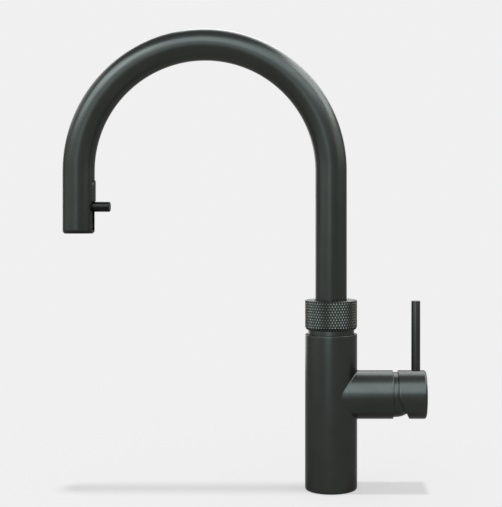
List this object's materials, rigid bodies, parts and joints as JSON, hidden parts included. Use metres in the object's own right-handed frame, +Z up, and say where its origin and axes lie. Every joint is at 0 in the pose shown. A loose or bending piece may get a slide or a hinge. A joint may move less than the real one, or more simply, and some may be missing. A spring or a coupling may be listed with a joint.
{
  "type": "boiling water tap",
  "caption": "Deck-mounted kitchen tap with a swan-neck swivel spout, pull-out outlet, knurled push-and-turn ring for boiling water and a single-lever mixer on a side arm.",
  "frame": {"origin": "centre of the tap hole, on the worktop's surface", "axes": "+Z up, the spout reaches towards -X, the mixer arm points towards +X, the user stands on the -Y side"},
  "size_m": [0.323, 0.056, 0.4905],
  "materials": {
    "gunmetal": "dark satin, fine brushed",
    "knurled_metal": "dark satin, diamond knurl",
    "black_plastic": "matt",
    "white_plastic": "matt",
    "rubber": "matt",
    "brass": "machined",
    "steel": "satin",
    "copper": "drawn tube",
    "ceramic": "lapped ceramic",
    "hose_braid": "dark nylon braid"
  },
  "bodies": {
    "root": {"body_shell": "gunmetal", "base_gasket": "rubber", "base_ring": "brass", "threaded_shank": "brass", "rubber_washer": "rubber", "clamp_washer": "steel", "lock_nut": "brass", "hose_guide": "white_plastic", "valve_block": "brass", "cold_nipple": "brass", "hot_nipple": "brass", "mixed_nipple": "brass", "swivel_manifold": "brass", "boiling_riser": "copper", "boiling_fitting": "brass", "hose_column_run": "hose_braid", "neck_sleeve": "gunmetal", "upper_bush": "white_plastic", "lower_bush": "white_plastic", "neck_o_ring": "rubber", "swivel_seal": "white_plastic", "ring_sensor": "black_plastic", "cartridge_seal": "rubber", "cartridge_housing": "white_plastic", "fixed_disc": "ceramic", "cartridge_nut": "brass", "dome_cover": "gunmetal"},
    "spout": {"spout_tube": "gunmetal", "spout_foot": "brass", "spout_circlip": "steel", "hose_spout_run": "hose_braid", "boiling_tube": "copper", "docking_sleeve": "black_plastic", "docking_magnet": "steel"},
    "outlet": {"nozzle_body": "gunmetal", "slot_tongue": "gunmetal", "grip_peg": "gunmetal", "outlet_ring": "black_plastic", "aerator": "black_plastic", "hose_coupling": "brass", "hose_outlet_run": "hose_braid", "port_seal": "rubber", "docking_keeper": "steel"},
    "ring_carrier": {"ring_carrier": "black_plastic", "return_spring": "steel"},
    "ring": {"knurled_ring": "knurled_metal", "ring_circlip": "steel", "ring_magnet": "steel"},
    "mixer_rotor": {"cartridge_rotor": "white_plastic", "stem_pin": "steel"},
    "flow_disc": {"moving_disc": "ceramic", "disc_driver": "white_plastic"},
    "lever": {"cartridge_stem": "steel", "handle_cap": "gunmetal", "lever_pin": "gunmetal", "grub_screw": "steel"}
  },
  "joints": [
    {"name": "spout_swivel", "type": "hinge", "parent": "root", "child": "spout", "pos_m": [0, 0, 0.13], "axis": [0, 0, 1], "range_deg": [-135, 135]},
    {"name": "outlet_pull", "type": "slide", "parent": "spout", "child": "outlet", "axis": [0, 0, -1], "range_m": [0, 0.2], "deforming": ["hose_outlet_run"]},
    {"name": "ring_press", "type": "slide", "parent": "root", "child": "ring_carrier", "axis": [0, 0, -1], "range_m": [0, 0.0035], "stiffness_N_per_m": 1500, "springref_m": -0.004, "deforming": ["return_spring"]},
    {"name": "ring_turn", "type": "hinge", "parent": "ring_carrier", "child": "ring", "pos_m": [0, 0, 0.154], "axis": [0, 0, 1], "range_deg": [0, 90]},
    {"name": "temperature_turn", "type": "hinge", "parent": "root", "child": "mixer_rotor", "pos_m": [0.0568, 0, 0.0833], "axis": [1, 0, 0], "range_deg": [-45, 45]},
    {"name": "lever_lift", "type": "hinge", "parent": "mixer_rotor", "child": "lever", "pos_m": [0.0568, 0, 0.0833], "axis": [0, 1, 0], "range_deg": [0, 25]},
    {"name": "flow_slide", "type": "slide", "parent": "mixer_rotor", "child": "flow_disc", "axis": [0, 0, 1], "range_m": [0, 0.0072]}
  ],
  "couplings": [
    {"joint": "flow_slide", "follows": "lever_lift", "m_per_rad": 0.01618}
  ]
}
